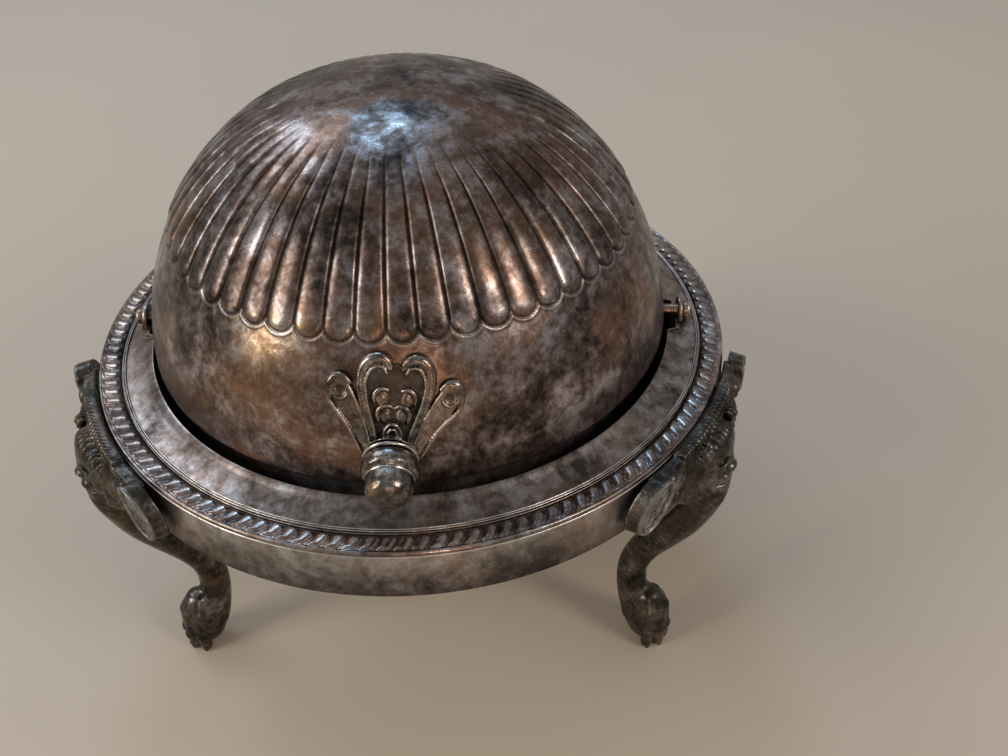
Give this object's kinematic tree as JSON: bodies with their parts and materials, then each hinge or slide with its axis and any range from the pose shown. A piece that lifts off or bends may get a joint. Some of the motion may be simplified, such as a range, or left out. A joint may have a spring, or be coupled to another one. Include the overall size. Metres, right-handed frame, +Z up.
{
  "type": "roll top serving dish",
  "caption": "Footed serving dish with a fluted dome cover that rolls back into its round lower body on side screws, with an inner bowl, a glass liner, a gadroon rim and lion-mask legs.",
  "frame": {"origin": "on the table, under the middle of the dish's outline", "axes": "+Z up, -Y towards the front with the handle, +X to the right; the cover turns about X"},
  "size_m": [0.178, 0.1774, 0.1588],
  "materials": {
    "cover_plate": "tarnished silver plate, glossy",
    "rim_plate": "tarnished silver plate, glossy",
    "border_plate": "tarnished silver plate with rubbed highs",
    "cast_metal": "dark tarnished casting",
    "handle_silver": "rubbed silver plate",
    "inner_silver": "silver plate",
    "pivot_brass": "worn plating over copper tones",
    "liner_glass": "clear pressed glass"
  },
  "bodies": {
    "dish": {"rim_flange": "rim_plate", "gadroon_border": "border_plate", "bead_moulding": "border_plate", "lower_body": "rim_plate", "bowl": "inner_silver", "glass_liner": "liner_glass", "pivot_lug_left": "rim_plate", "pivot_screw_left": "pivot_brass", "pivot_spacer_left": "pivot_brass", "pivot_nut_left": "pivot_brass", "pivot_lug_right": "rim_plate", "pivot_screw_right": "pivot_brass", "pivot_spacer_right": "pivot_brass", "pivot_nut_right": "pivot_brass", "leg_left": "cast_metal", "leg_screw_left_1": "pivot_brass", "leg_screw_left_2": "pivot_brass", "leg_right": "cast_metal", "leg_screw_right_1": "pivot_brass", "leg_screw_right_2": "pivot_brass", "leg_back": "cast_metal", "leg_screw_back_1": "pivot_brass", "leg_screw_back_2": "pivot_brass"},
    "cover_assembly": {"cover": "cover_plate", "handle_palmette": "handle_silver", "handle_collar": "handle_silver", "handle_knob": "handle_silver", "handle_nut": "pivot_brass"}
  },
  "joints": [
    {"name": "cover_roll", "type": "hinge", "parent": "dish", "child": "cover_assembly", "pos_m": [0, -0.00545, 0.0921], "axis": [-1, 0, 0], "range_deg": [0, 150]}
  ]
}
